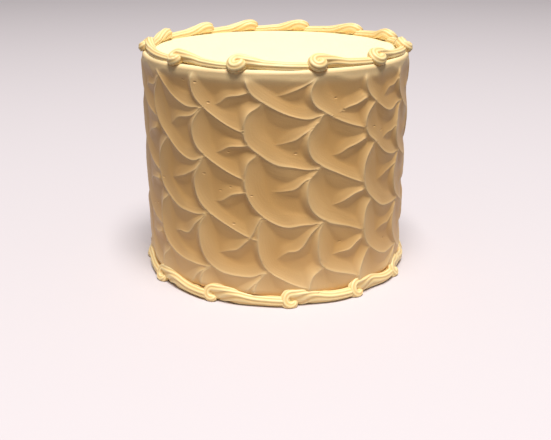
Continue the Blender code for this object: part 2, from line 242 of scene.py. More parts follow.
@dataclass(frozen=True)
class Buttercream:
    """Vanilla buttercream: butter beaten with icing sugar, which sets to a satin skin over a cloudy body.

    To the eye it is a warm ivory that light enters a few millimetres. Its colour carries painted shade, darker
    and more yellow in its hollows, and painted light, paler on the top and on the lips' thin edges; its skin
    has a broad, soft gloss.
    """

    name: str
    ridge_colour: str
    # painted shade: the colour in the hollows and grooves, darker than the ridges'
    shaded_hollow_colour: str
    roughness: float
    streak_height: float  # of the marks that the tool drags along, in metres
    streak_width: float
    grain_height: float  # of the fine sugar grain
    grain_width: float
    pit_height: float  # of burst air bubbles
    # painted light: the pale colour of the lit top, shoulder and foot, and of the lips' highlighted edges
    painted_light_colour: str = "#FAECBE"
    cloud_width: float = 0.030
    cloud_swing: float = 0.18  # the clouding's share of the way between ridge and hollow
    light_depth: float = 0.0025  # how far light enters
    gloss_width: float = 0.012  # of the patches of duller and glossier skin
    pit_spacing: float = 0.0140
    pit_share: float = 0.10  # a pit's radius, as a share of that spacing
    burr_height: float = 0.0  # of the fine edge that the spatula raises along a lip
    burr_width: float = 0.0010
    burr_highlight: float = 0.0  # painted highlight: how far that thin edge takes the pale colour

    def material(self) -> bpy.types.Material:
        """Builds the finish.

        Returns:
            A material whose colour runs from a painted shade in the hollows to the ridge colour by the mesh's
            "rise", clouded by slow noise. It turns to a pale painted light on the top, the shoulder and near
            the foot, and to a painted highlight along the lips' raised edges. Its bump is what _bumps()
            stacks.
        """
        made = bpy.data.materials.new(self.name)
        made.use_nodes = True
        tree = made.node_tree
        tree.nodes.clear()
        place_of = add_node(tree, "TexCoord").outputs["Object"]
        rise = add_node(tree, "Attribute", {"attribute_name": "rise"}).outputs["Fac"]
        stroke = add_node(tree, "Attribute", {"attribute_name": "stroke"}).outputs["Vector"]
        clouds = add_node(
            tree, "TexNoise", {"Scale": 1 / self.cloud_width, "Detail": 3.0}, {"Vector": place_of}
        )
        spread = add_node(
            tree, "MapRange",
            {"From Min": 0.3, "From Max": 0.7, "To Min": -self.cloud_swing, "To Max": self.cloud_swing},
            {"Value": clouds.outputs["Fac"]},
        )
        tone = add_node(
            tree, "Math", {"operation": "ADD", "use_clamp": True}, {0: rise, 1: spread.outputs[0]}
        )
        # painted shade: darker towards the hollows, by the mesh's rise
        colour = add_node(
            tree, "Mix",
            {"data_type": "RGBA", 6: linear(self.shaded_hollow_colour), 7: linear(self.ridge_colour)},
            {0: tone.outputs[0]},
        )
        # painted light on the top, shoulder and foot, and a painted highlight on the lips' edges
        painted_light = add_node(tree, "Attribute", {"attribute_name": "painted_light"}).outputs["Fac"]
        raised, clear = self._edges(tree)
        # painted highlight along the lips' raised edges
        thin = add_node(tree, "Math", {"operation": "MULTIPLY", 1: self.burr_highlight}, {0: raised})
        pale = add_node(tree, "Math", {"operation": "ADD", "use_clamp": True}, {0: painted_light, 1: thin.outputs[0]})
        whole = add_node(
            tree, "Mix", {"data_type": "RGBA", 7: linear(self.painted_light_colour)},
            {0: pale.outputs[0], 6: colour.outputs[2]},
        )
        gloss = add_node(
            tree, "TexNoise", {"Scale": 1 / self.gloss_width, "Detail": 2.0}, {"Vector": place_of}
        )
        rough = add_node(
            tree, "MapRange", {"To Min": self.roughness - 0.07, "To Max": self.roughness + 0.09},
            {"Value": gloss.outputs["Fac"]},
        )
        bumps = self._bumps(tree, place_of, stroke, raised, clear)
        shader = add_node(
            tree, "BsdfPrincipled",
            {
                "IOR": 1.46,
                "Metallic": 0.0,
                "Specular IOR Level": 0.42,
                "Subsurface Weight": 0.05,
                "Subsurface Radius": (1.0, 0.62, 0.30),
                "Subsurface Scale": self.light_depth,
            },
            {"Base Color": whole.outputs[2], "Roughness": rough.outputs[0], "Normal": bumps},
        )
        add_node(tree, "OutputMaterial", {}, {"Surface": shader.outputs[0]})
        return made

    def _edges(self, tree: bpy.types.NodeTree) -> tuple[Socket, Socket]:
        """Finds the raised edge along each lip.

        Args:
            tree: the material's node tree.

        Returns:
            Two sockets from the mesh's "burr": the edge's height, which falls from its line to either side as
            the power 1.5 of what is left of the burr's width, and how clear the tool's streaks are.
        """
        burr = add_node(tree, "Attribute", {"attribute_name": "burr"})
        parts = add_node(tree, "SeparateXYZ", {}, {0: burr.outputs["Vector"]})
        off = add_node(tree, "Math", {"operation": "ABSOLUTE"}, {0: parts.outputs[0]})
        line = add_node(
            tree, "MapRange",
            {"From Min": 0.0, "From Max": self.burr_width, "To Min": 1.0, "To Max": 0.0},
            {"Value": off.outputs[0]},
        )
        sharp = add_node(tree, "Math", {"operation": "POWER", 1: 1.5}, {0: line.outputs[0]})
        raised = add_node(tree, "Math", {"operation": "MULTIPLY"}, {0: sharp.outputs[0], 1: parts.outputs[1]})
        return raised.outputs[0], parts.outputs[2]

    def _bumps(
        self, tree: bpy.types.NodeTree, place_of: Socket, stroke: Socket, raised: Socket, clear: Socket
    ) -> Socket:
        """Stacks the surface's fine relief: streaks, grain, pits and the lips' raised edges.

        The streaks run where "stroke" changes least. A pit is where a cell pattern is near a cell's middle.

        Args:
            tree: the material's node tree.
            place_of: socket with the object coordinates.
            stroke: socket with the coordinates along and across the tool's path.
            raised: socket with the lips' raised edges.
            clear: socket that says how clear the streaks are.

        Returns:
            The normal socket of the last bump.
        """
        streaks = add_node(
            tree, "TexNoise", {"Scale": 1 / self.streak_width, "Detail": 2.0, "Roughness": 0.55},
            {"Vector": stroke},
        )
        calmed = add_node(tree, "Math", {"operation": "MULTIPLY"}, {0: streaks.outputs["Fac"], 1: clear})
        grain = add_node(
            tree, "TexNoise", {"Scale": 1 / self.grain_width, "Detail": 3.0, "Roughness": 0.6},
            {"Vector": place_of},
        )
        squashed = add_node(
            tree, "Mapping", {"Scale": (1.0, 1.0, 1.9), "Rotation": (0.25, 0.15, 0.0)}, {"Vector": place_of}
        )
        cells = add_node(
            tree, "TexVoronoi", {"Scale": 1 / self.pit_spacing, "Randomness": 1.0},
            {"Vector": squashed.outputs[0]},
        )
        pits = add_node(
            tree, "MapRange",
            {"From Min": 0.0, "From Max": self.pit_share, "interpolation_type": "SMOOTHSTEP"},
            {"Value": cells.outputs["Distance"]},
        )
        below = {}
        for distance, height in (
            (self.streak_height, calmed.outputs[0]),
            (self.grain_height, grain.outputs["Fac"]),
            (self.pit_height, pits.outputs[0]),
            (self.burr_height, raised),
        ):
            bump = add_node(tree, "Bump", {"Strength": 1.0, "Distance": distance}, {"Height": height} | below)
            below = {"Normal": bump.outputs["Normal"]}
        return below["Normal"]


# painted shade: darker and more yellow than the piped buttercream, a shaded copy for the side
SPREAD_BUTTERCREAM = Buttercream(
    name="spread_vanilla_buttercream",
    ridge_colour="#EABF82",
    shaded_hollow_colour="#DBA966",
    roughness=0.46,
    streak_height=0.00008,
    streak_width=0.0011,
    grain_height=0.00006,
    grain_width=0.0009,
    pit_height=0.00045,
    burr_height=0.0004,
    burr_width=0.0016,
    burr_highlight=0.22,
)
# painted light: paler than the spread buttercream, a lit copy for the borders
PIPED_BUTTERCREAM = Buttercream(
    name="piped_vanilla_buttercream",
    ridge_colour="#F7DEA4",
    shaded_hollow_colour="#E8C07E",
    roughness=0.42,
    streak_height=0.00012,
    streak_width=0.0009,
    grain_height=0.00004,
    grain_width=0.0007,
    pit_height=0.0003,
)


@dataclass(frozen=True)
class Ridge:
    """One lip or crease that the spatula leaves: a line on the unrolled side, and what it gives along it."""

    line: np.ndarray  # (n, 2) metres along the side and up it
    crest: np.ndarray  # share of the full relief
    reach: np.ndarray  # how far the hollow slope inside it runs, in metres
    step: np.ndarray  # how wide its fall outside is, in metres
    burr: np.ndarray  # share of the fine edge that the spatula raises right on the line
    end: np.ndarray  # (n, 2) height and place along the side where the next column's petals cut it off


@dataclass(frozen=True)
class Petals:
    """The scoops that a spatula leaves round the side: columns of petals, each with a lip and a crease."""

    lip_radius: float
    cake_height: float
    columns: int = 15
    first_column: int = -3
    phase: float = math.radians(-10.5)  # left edge of column 0, the one in front
    row_pitch: float = 0.030
    rows: int = 5
    curve: float = 2.0  # how hollow the slopes on both sides of a ridge are
    cut_width: float = 0.0012  # a stroke ends over this width at the next column's petals
    longest_reach: float = 0.026  # nothing reaches further from its line
    # What a lip gives at even steps from its junction to its end: its crest, as a share of the full relief,
    # its slope's reach inside it and its fall's outside it, in metres, and its burr
    lip_crest: tuple = (0.70, 0.88, 1.00, 0.95, 0.78, 0.62, 0.58, 0.70)
    lip_reach: tuple = (0.0120, 0.0150, 0.0170, 0.0165, 0.0140, 0.0122, 0.0118, 0.0110)
    lip_fall: tuple = (0.0110, 0.0090, 0.0052, 0.0036, 0.0065, 0.0130, 0.0140, 0.0130)
    lip_burr: tuple = (0.5, 0.8, 1.0, 1.0, 1.0, 0.9, 0.8, 0.8)
    # And what a crease gives
    crease_crest: tuple = (0.0, 0.14, 0.34, 0.52, 0.66, 0.80)
    crease_reach: tuple = (0.0125, 0.0125, 0.0125, 0.0120, 0.0115, 0.0110)
    crease_fall: tuple = (0.0120, 0.0120, 0.0105, 0.0090, 0.0080, 0.0070)
    crease_burr: tuple = (0.0, 0.2, 0.5, 0.8, 0.9, 0.8)
    crest_round: float = 0.0005  # a ridge is rounded over this width
    blend: float = 28.0  # how sharply the higher of two ridges wins
    burr_zone: float = 0.0025  # nothing is left of a burr this far from its line
    soft_start: float = 0.001  # the distance from a line is softened from here
    soft_width: float = 0.003  # over this width
    crease_rise: float = 0.0165  # a crease ends this far below its junction
    crease_low: float = 0.0200  # or bends halfway between this far below it and the next column's junction
    crease_over: float = 1.02  # where it crosses into the next column, in column widths
    guessed_start: float = 0.004  # an unseen column starts this far above the cake's top
    stagger: float = 0.010  # and every other one about this much higher
    low_row: int = 3  # the row whose bulges are given
    curve_points: int = 29
    seed: int = 7
    # Heights of the junctions between the petals of a column, for the columns seen in front
    heights: dict = field(default_factory=lambda: {
        -3: (0.1418, 0.1142, 0.0836, 0.0500, 0.0187),
        -2: (0.1550, 0.1275, 0.0936, 0.0595, 0.0255),
        -1: (0.1425, 0.1145, 0.0866, 0.0538, 0.0222),
        0: (0.1470, 0.1193, 0.0925, 0.0534, 0.0206),
        1: (0.1360, 0.1130, 0.0828, 0.0519, 0.0220),
        2: (0.1420, 0.1161, 0.0925, 0.0594, 0.0275),
        3: (0.1400, 0.1120, 0.0815, 0.0515, 0.0200),
    })
    # Where those junctions lie across their column, in column widths
    shifts: dict = field(default_factory=lambda: {
        -2: (0.20, 0.18, 0.38, 0.32, 0.32),
        -1: (0.22, 0.21, 0.22, 0.25, 0.30),
        0: (0.20, 0.21, 0.14, 0.23, 0.31),
        1: (0.25, 0.24, 0.17, 0.25, 0.25),
        2: (0.20, 0.24, 0.26, 0.22, 0.22),
    })
    # How far the lips of the fourth row bulge, as a share of the others
    low_bulges: dict = field(default_factory=lambda: {-1: 0.80, 0: 0.50, 1: 0.40, 2: 0.70})
    # A lip down to the next junction: column widths to the right of its own and petal heights down from it
    lip_shape: tuple = ((0.00, 0.00), (-0.17, 0.20), (-0.235, 0.48), (-0.17, 0.76), (0.02, 0.97))
    # Where it goes from there: column widths to the right of the next junction and metres down from it
    lip_end: tuple = ((0.30, 0.0044), (0.62, 0.0088), (1.00, 0.0130))
    # Or it runs to a junction of the next column that is at least and at most this far below, in metres
    lip_drop: tuple = (0.001, 0.014)
    lip_sag: float = 0.0038  # halfway there it hangs this far below a straight line
    # A crease, in column widths from the column's left edge and metres down from the junction
    crease_shape: tuple = ((0.28, 0.0240), (0.46, 0.0230), (0.64, 0.0208), (0.82, 0.0192))

    def junctions(self) -> list[Points]:
        """Places the junctions between the petals.

        Returns:
            Every column's junctions, as (column widths from column 0's left edge, height).
        """
        rng = np.random.default_rng(self.seed)
        columns = []
        for number in range(self.first_column, self.first_column + self.columns):
            if number in self.heights:
                levels = list(self.heights[number])
            else:
                higher = self.stagger * ((number % 2) + rng.uniform(-0.2, 0.2))
                start = self.cake_height + self.guessed_start + higher
                rows = range(self.rows)
                levels = [start - self.row_pitch * (row + rng.uniform(-0.08, 0.08)) for row in rows]
            shifts = self.shifts.get(number, tuple(rng.uniform(0.12, 0.28, self.rows)))
            columns.append(list(zip([number + shift for shift in shifts], levels)))
        return columns

    def crease_end(self, edge: float, height: float, beside: Points) -> Points:
        """Finds where a crease ends.

        Args:
            edge: the column's left edge, in column widths.
            height: the height of the petal's junction.
            beside: the next column's junctions.

        Returns:
            Its last points: up to the next column's junction where that is near, or else to its lip.
        """
        for across, level in beside:
            if height - self.crease_rise < level < height + 0.05 * self.row_pitch:
                bend = (level + height - self.crease_low) / 2
                return [(edge + self.crease_over, bend), (across - 0.03, level)]
        return [(edge + self.crease_over, height - self.crease_rise)]

    def lips(self, number: int, column: Points, beside: Points, bulge: float) -> list[np.ndarray]:
        """The lips of a column.

        Args:
            number: the column.
            column: its junctions.
            beside: the next column's junctions.
            bulge: how far its lips bulge to the left, as a share of the usual.

        Returns:
            A (curve_points, 2) line for each petal, in column widths along the side and metres up it. Past
            the next junction it runs down to the right, to a junction of the next column if one is a little
            lower, sagging by 4u(1 - u) of the lip's sag at the share u of the way.
        """
        found = []
        for row, (across, height) in enumerate(column):
            last = (across, height - self.row_pitch)
            next_across, next_height = column[row + 1] if row + 1 < self.rows else last
            pitch = height - next_height
            wide = self.low_bulges.get(number, 1.0) if row == self.low_row else bulge
            lean = next_across - across
            shape = [(across + min(u, 0) * wide + max(u, 0) + lean * w, height - w * pitch)
                     for u, w in self.lip_shape]
            least, most = self.lip_drop
            near = [(a, level) for a, level in beside if least < next_height - level < most]
            if near:
                run, drop = near[0][0] - next_across, next_height - near[0][1]
                shape += [(next_across + u * run, next_height - u * drop - 4 * u * (1 - u) * self.lip_sag)
                          for u in (0.35, 0.70, 1.00)]
            else:
                shape += [(next_across + u, next_height - w) for u, w in self.lip_end]
            found.append(spline(shape, self.curve_points))
        return found

    def left_edge(self, column: Points, lips: list[np.ndarray]) -> np.ndarray:
        """The outline that a column's petals cut into the column before it.

        Args:
            column: its junctions.
            lips: its lips.

        Returns:
            (n, 2) heights, growing, and places in column widths: each lip down to the next junction.
        """
        pieces = []
        for row, lip in enumerate(lips):
            lowest = column[row + 1][1] if row + 1 < self.rows else -1.0
            pieces.append(lip[lip[:, 1] > lowest])
        chain = np.vstack(pieces)[::-1, ::-1]
        return chain[np.argsort(chain[:, 0])]

    def ridges(self) -> list[Ridge]:
        """Every lip and crease round the cake.

        Returns:
            The ridges. A lip bulges to the left of its junction and then runs down to the right; a crease
            rises from nothing across the petal. Both end at the next column's petals, drawn after them.
        """
        width = 2 * math.pi / self.columns * self.lip_radius
        columns = self.junctions()
        bulges = np.random.default_rng(self.seed + 1).uniform(0.85, 1.1, self.columns)
        numbers = range(self.first_column, self.first_column + self.columns)
        following = [[(a + self.columns * (n + 1 == self.columns), height)
                      for a, height in columns[(n + 1) % self.columns]] for n in range(self.columns)]
        lips = [self.lips(*one) for one in zip(numbers, columns, following, bulges)]
        edges = [self.left_edge(*one) for one in zip(columns, lips)]
        along = np.linspace(0, 1, self.curve_points)

        def spread(values: tuple) -> np.ndarray:
            """Spreads a few values evenly along a line."""
            return np.interp(along, np.linspace(0, 1, len(values)), values)

        lip_kinds = [spread(v) for v in (self.lip_crest, self.lip_reach, self.lip_fall, self.lip_burr)]
        creases = (self.crease_crest, self.crease_reach, self.crease_fall, self.crease_burr)
        crease_kinds = [spread(v) for v in creases]
        found = []
        for n, (number, column) in enumerate(zip(numbers, columns)):
            wrap = self.columns * (n + 1 == self.columns)
            end = (edges[(n + 1) % self.columns] + (0, wrap)) * (1, width)
            for (_, height), lip in zip(column, lips[n]):
                found.append(Ridge(lip * (width, 1), *lip_kinds, end))
                points = [(number + u, height - down) for u, down in self.crease_shape]
                crease = spline(points + self.crease_end(number, height, following[n]), self.curve_points)
                found.append(Ridge(crease * (width, 1), *crease_kinds, end))
        return found

    def ridge_height(self, ridge: Ridge, along: np.ndarray, up: np.ndarray) -> tuple[np.ndarray, ...]:
        """Works out what one ridge gives each place near it.

        The height is full on the line and falls inside it as (1 - distance/reach)^curve, and outside it as
        (1 - distance/step)^curve; past the line's ends the two are mixed by the sine of the angle to it. Away
        from the line the distance is softened to (pi/2 / sum of length/distance^4)^(1/3) over all its
        stretches, so the slope has no fold where two stretches are equally near.

        Args:
            ridge: the ridge.
            along: places along the unrolled side, in metres.
            up: their heights.

        Returns:
            The share of the full relief, the distance from the line, negative outside, the same distance with
            a smooth change past the line's ends, and the burr's share.
        """
        start, run = ridge.line[:-1], np.diff(ridge.line, axis=0)
        away = np.stack((along, up), -1)[:, None, :] - start
        share = np.clip((away * run).sum(-1) / (run**2).sum(1), 0, 1)
        offset = away - share[..., None] * run
        apart2 = (offset**2).sum(-1)
        near = apart2.argmin(1)
        rows = np.arange(len(near))
        apart = np.sqrt(apart2[rows, near])
        side = run[near, 0] * offset[rows, near, 1] - run[near, 1] * offset[rows, near, 0]
        length = np.sqrt((run**2).sum(1))
        sine = side / (length[near] * np.maximum(apart, 1e-7))
        within = smooth(0.5 + 0.5 * sine)
        weight = length / (apart2 + (0.25 * length) ** 2) ** 2
        total = weight.sum(1)
        softened = (math.pi / 2 / total) ** (1 / 3)
        rounded = np.hypot(apart, self.crest_round) - self.crest_round
        away_share = smooth((apart - self.soft_start) / self.soft_width)
        distance = rounded + away_share * (softened - rounded)
        kinds = (ridge.crest, ridge.reach, ridge.step, ridge.burr)
        peak, slope, step, burr = ((weight * (v[:-1] + v[1:]) / 2).sum(1) / total for v in kinds)
        inside = np.clip(1 - distance / slope, 0, 1) ** self.curve
        outside = np.clip(1 - rounded / step, 0, 1) ** self.curve
        level = peak * (within * inside + (1 - within) * outside)
        return level, np.where(side >= 0, apart, -apart), apart * (2 * within - 1), burr

    def relief(self, azimuth: np.ndarray, height: np.ndarray) -> tuple[np.ndarray, ...]:
        """The side's relief.

        Args:
            azimuth: places round the cake, in radians.
            height: their heights, in metres, in an array of the same shape.

        Returns:
            The share of relief at each place and the distance from the ridge that gives it, both of them
            means over all the ridges near, each weighted by exp(blend * its share); how clearly one ridge
            wins there; the distance from the nearest ridge's line, and the burr's share there.
        """
        round_length = 2 * math.pi * self.lip_radius
        along = (azimuth - self.phase) * self.lip_radius
        total, squares = np.ones_like(along), np.ones_like(along)
        level, highest = np.zeros_like(along), np.zeros_like(along)
        sweep, edge = np.full_like(along, self.longest_reach), np.full_like(along, self.longest_reach)
        keen, own = np.zeros_like(along), np.zeros_like(along)
        for ridge in self.ridges():
            middle = ridge.line[:, 0].mean()
            local = (along - middle + round_length / 2) % round_length + middle - round_length / 2
            low, high = ridge.line.min(0) - self.longest_reach, ridge.line.max(0) + self.longest_reach
            near = (local > low[0]) & (local < high[0]) & (height > low[1]) & (height < high[1])
            if near.any():
                found, distance, swept, burr = self.ridge_height(ridge, local[near], height[near])
                limit = np.interp(height[near], ridge.end[:, 0], ridge.end[:, 1])
                kept = smooth((limit - local[near]) / self.cut_width + 0.5)
                found = found * kept
                weight = np.exp(self.blend * found)
                total[near] += weight
                squares[near] += weight**2
                level[near] += weight * found
                sweep[near] += weight * swept
                highest[near] = np.maximum(highest[near], found)
                nearer = (np.abs(distance) < np.abs(edge[near])) & (kept > 0.5)
                edge[near] = np.where(nearer, distance, edge[near])
                keen[near] = np.where(nearer, burr, keen[near])
                own[near] = np.where(nearer, found, own[near])
        level, sweep, clear = level / total, sweep / total, squares / total**2
        exposed = smooth((own / np.maximum(highest, 1e-6) - 0.6) / 0.3)
        keen = keen * exposed * (1 - smooth(np.abs(edge) / self.burr_zone))
        return level, sweep, smooth((clear - 0.5) / 0.4), edge, keen


@dataclass(frozen=True)
class IcedBody:
    """The cake itself under its spread buttercream: foot, scooped side, round shoulder and flat top."""

    cake_height: float
    shoulder_radius: float  # the side's radius where the shoulder starts
    shoulder: float = 0.0024
    foot_radius: float = 0.0795
    foot_height: float = 0.003  # the foot is pressed in up to here
    foot_swell: float = 0.006  # and widens to the scoops' depth over this height
    relief: float = 0.0022
    relief_start: float = 0.004  # the relief begins at this height
    relief_rise: float = 0.006  # and grows to its full depth over this one
    lip_out: float = 0.0010  # the lips stand this far beyond the shoulder
    waver: float = 0.0007  # the hand's unsteadiness, up and down
    unevenness: float = 0.05  # and in and out, as a share of the relief
    rim_crest: float = 0.80  # share of the relief right below the shoulder
    rim_reach: float = 0.0160  # and how far below it that hollows out
    rim_drop: float = 0.0008  # the rim's edge lies this far below the shoulder
    rim_wave: float = 0.0010  # and waves by this much
    rim_depth: float = 0.0036  # the relief fades out from this far below that edge
    rim_fade: float = 0.0042  # over this height
    rim_end: float = 0.0010  # and at the latest over this height below the shoulder
    rim_painted_light: float = 0.3  # painted light: how far the shoulder takes the pale colour; the top takes it fully
    foot_painted_light: float = 0.18  # and painted light near the foot
    drift: float = 0.08  # how much the strokes' pattern changes along them, to across them
    jump: float = 1.25  # distances that differ by more than this share of a cell are from different lines
    cells: int = 520
    side_rows: int = 165
    shoulder_rows: int = 8
    top_rings: int = 12

    @property
    def lip_radius(self) -> float:
        """Radius of the side out to a lip's crest."""
        return self.shoulder_radius + self.lip_out

    def foot_profile(self, height: np.ndarray) -> np.ndarray:
        """Radius of the pressed-in foot: upright, then a smooth step out to the scoops' depth."""
        out = self.lip_radius - self.relief - self.foot_radius
        return self.foot_radius + out * smooth((height - self.foot_height) / self.foot_swell)

    def top_profile(self, radius: np.ndarray) -> np.ndarray:
        """Height of the top at a radius: level, then a quarter circle down over the shoulder."""
        out = np.clip((radius - (self.lip_radius - self.shoulder)) / self.shoulder, 0, 1)
        return self.cake_height - self.shoulder * (1 - np.sqrt(1 - out**2))

    def unbroken(self, edge: np.ndarray) -> np.ndarray:
        """Finds where the distance from the nearest line can be read between the grid's points.

        Args:
            edge: (rows, cells) signed distances.

        Returns:
            0 at points whose distance differs from a neighbour's by more than the two are apart, times the
            jump, which means that they belong to different lines, and 1 elsewhere, averaged over each point
            and its four neighbours.
        """
        across = 2 * math.pi * self.lip_radius / self.cells
        upward = (self.cake_height - self.shoulder) / (self.side_rows - 1)
        sound = np.ones_like(edge)
        turned = np.abs(edge - np.roll(edge, 1, axis=1)) > self.jump * across
        sound[turned | np.roll(turned, -1, axis=1)] = 0
        raised = np.abs(np.diff(edge, axis=0)) > self.jump * upward
        sound[1:][raised] = 0
        sound[:-1][raised] = 0
        padded = np.pad(sound, ((1, 1), (0, 0)), mode="edge")
        beside = np.roll(sound, 1, axis=1) + np.roll(sound, -1, axis=1) + padded[:-2] + padded[2:]
        return sound * (sound + beside) / 5

    def side(self) -> tuple[np.ndarray, ...]:
        """The side's rings.

        Returns:
            Their points, how far each is raised, which also sets the painted shade in its hollows, its place
            across and along the strokes, how much painted light it has, and its burr: the distance from the
            nearest line, the burr's share and how clear the streaks are. The relief is faded out by a smooth
            step towards the foot and towards the shoulder, whose lower edge waves.
        """
        azimuth = np.arange(self.cells) * 2 * math.pi / self.cells
        top = self.cake_height - self.shoulder
        azimuths, heights = np.meshgrid(azimuth, np.linspace(0, top, self.side_rows))
        petals = Petals(self.lip_radius, self.cake_height)
        wavered = heights + self.waver * ripple(azimuths + 11 * heights, 17, 8, 26)
        level, sweep, clear, edge, keen = petals.relief(azimuths, wavered)
        keen = keen * self.unbroken(edge)
        uneven = self.unevenness * ripple(azimuths + 9 * heights, 3, 9, 31)
        level = level + uneven * np.minimum(level * 3, 1)
        fade = smooth((heights - self.relief_start) / self.relief_rise)
        rim = top - self.rim_drop + self.rim_wave * ripple(azimuth, 5, 7, 24)
        below = self.rim_crest * np.clip(1 - (rim - heights) / self.rim_reach, 0, 1) ** 2
        rim_weight = 1 / (1 + np.exp(petals.blend * (level - below)))
        level = level + (below - level) * rim_weight
        full = smooth((heights - (rim - self.rim_depth)) / self.rim_fade)
        full = np.maximum(full, smooth((heights - (top - self.rim_end)) / self.rim_end))
        scooped = self.foot_profile(heights) + fade * self.relief * level
        radius = scooped + full * (self.shoulder_radius - scooped)
        # the colour's share from the painted shade in the hollows to the ridge colour
        rise = fade * level + full * (1 - fade * level)
        turned = around(self.drift * self.lip_radius, azimuths, heights)
        stroke = np.stack((sweep + self.drift * heights, turned[..., 0], turned[..., 1]), -1)
        burr = np.stack((edge, keen * fade * (1 - full), clear), -1)
        # painted light: paler over the top 7 mm under the shoulder and over the lowest 30 mm
        painted_light = self.rim_painted_light * smooth((heights - (top - 0.007)) / 0.006)
        painted_light = painted_light + self.foot_painted_light * smooth((0.030 - heights) / 0.024)
        return around(radius, azimuths, heights), rise, stroke, painted_light, burr

    def cap(self) -> tuple[np.ndarray, ...]:
        """The rings over the shoulder and in to the middle of the top.

        Returns:
            What side() returns, for rings up a quarter circle and then level inwards. The strokes run round,
            and the painted light grows to full over the top.
        """
        azimuth = np.arange(self.cells) * 2 * math.pi / self.cells
        bend = np.linspace(0, math.pi / 2, self.shoulder_rows + 1)[1:, None]
        flat_edge = self.shoulder_radius - self.shoulder
        radius = flat_edge + self.shoulder * np.cos(bend) * np.ones_like(azimuth)
        height = self.cake_height - self.shoulder * (1 - np.sin(bend)) * np.ones_like(azimuth)
        inner = np.linspace(flat_edge, 0.002, self.top_rings)[1:, None] * np.ones_like(azimuth)
        radii = np.vstack((radius, inner))
        heights = np.vstack((height, np.full_like(inner, self.cake_height)))
        azimuths = np.broadcast_to(azimuth, radii.shape)
        stroke = np.stack((radii, 0.01 * np.sin(azimuths), 0.01 * np.cos(azimuths)), -1)
        inward = smooth((self.shoulder_radius - radii) / (1.2 * self.shoulder))
        painted_light = self.rim_painted_light + (1 - self.rim_painted_light) * inward
        ones = np.ones_like(radii)
        burr = np.stack((ones, np.zeros_like(radii), ones), -1)
        return around(radii, azimuths, heights), ones, stroke, painted_light, burr

    def build(self, finish: bpy.types.Material) -> bpy.types.Object:
        """Makes the iced body, side and cap in one closed mesh.

        Args:
            finish: the spread buttercream.

        Returns:
            The piece.
        """
        rings, *marks = (np.concatenate(pair) for pair in zip(self.side(), self.cap()))
        mesh = closed_mesh("iced_body", rings)
        for name, values in zip(("rise", "stroke", "painted_light", "burr"), marks):
            mark(mesh, name, values)
        return place(mesh, finish, "spread_buttercream", "cake_body")


class Border(Enum):
    """Which edge of the cake a scroll is piped round."""

    TOP = "top"
    FOOT = "foot"


@dataclass(frozen=True)
class ScrollSizes:
    """Sizes of one piped scroll: a head that curls out of its own middle, and the tail that runs on."""

    border_radius: float
    hook: float  # radius of the curl where the strand's middle is widest
    tilt: float  # slope of the curl's plane from flat, in radians
    head_lift: float  # height of the curl's middle over what the scroll lies on
    head_out: float  # the hook's middle outward of the border's radius
    start_turn: float  # where round the curl the strand starts, in radians back from its outermost place
    start_share: float  # where the strand starts, as a share of that radius
    start_width: float  # and its width there, as a share of the head's
    start_drop: float  # how much lower it starts
    head_radius: float  # half the strand's width in the head
    tail_radius: float  # and in the tail
    end_radius: float  # and at the tail's end
    tail_lift: float
    tail_out: float
    end_lift: float
    drop_length: float  # the tail takes this long to come down from the head
    opening: float  # the strand has its full width and the curl its full radius after this turn, in radians
    ridges: int
    groove: float  # depth of the grooves between ridges, as a share of the strand's radius


